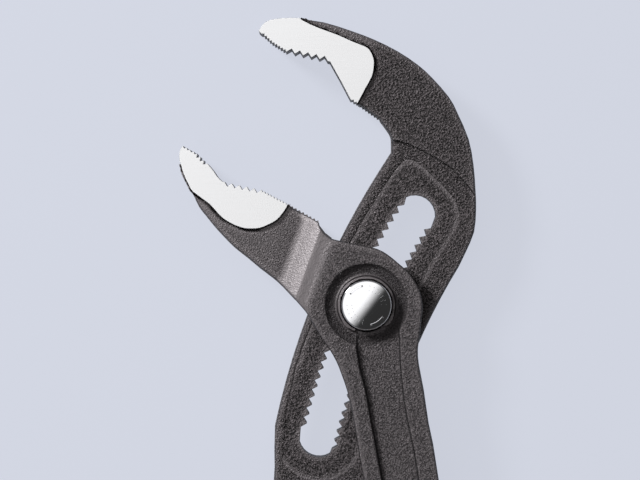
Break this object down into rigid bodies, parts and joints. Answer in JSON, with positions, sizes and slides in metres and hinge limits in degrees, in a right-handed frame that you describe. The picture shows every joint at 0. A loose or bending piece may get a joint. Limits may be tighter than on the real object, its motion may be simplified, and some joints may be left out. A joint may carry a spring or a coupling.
{
  "type": "water pump pliers",
  "caption": "Slip-joint pliers: a slotted lever slides and locks along a toothed curved slot in the other lever's box, freed by a push button.",
  "frame": {"origin": "centre of the joint bolt's end face at the back, level with the back of the joint box", "axes": "+Z out of the back's plane towards the push button, along the joint's axis; -Y towards the handles; +Y and -X towards the jaws"},
  "size_m": [0.0826, 0.2668, 0.0184],
  "materials": {
    "forging": "dark grey phosphate on forged steel, granular, with ground satin jaw sides",
    "bright_steel": "turned and milled steel",
    "chrome": "polished chrome plate",
    "spring_steel": "hardened spring steel",
    "dipped_plastic": "dipped soft plastic with a slight sheen"
  },
  "bodies": {
    "button_lever": {"button_lever": "forging", "button_lever_grip": "dipped_plastic", "retaining_ring": "spring_steel"},
    "joint_bolt": {"joint_bolt": "bright_steel", "button_spring": "spring_steel"},
    "slotted_lever": {"slotted_lever": "forging", "slotted_lever_grip": "dipped_plastic"},
    "push_button": {"push_button": "chrome", "locking_slide": "bright_steel"}
  },
  "joints": [
    {"name": "lever_pivot", "type": "hinge", "parent": "button_lever", "child": "joint_bolt", "pos_m": [0, 0, 0], "axis": [0, 0, 1], "range_deg": [-18, 5]},
    {"name": "jaw_adjustment", "type": "hinge", "parent": "joint_bolt", "child": "slotted_lever", "pos_m": [0.17129, -0.07988, 0], "axis": [0, 0, 1], "range_deg": [-9.63, 5.92]},
    {"name": "button_press", "type": "slide", "parent": "joint_bolt", "child": "push_button", "axis": [0, 0, -1], "range_m": [0, 0.0024], "stiffness_N_per_m": 1500, "springref_m": -0.003, "deforming": ["button_spring"]}
  ]
}
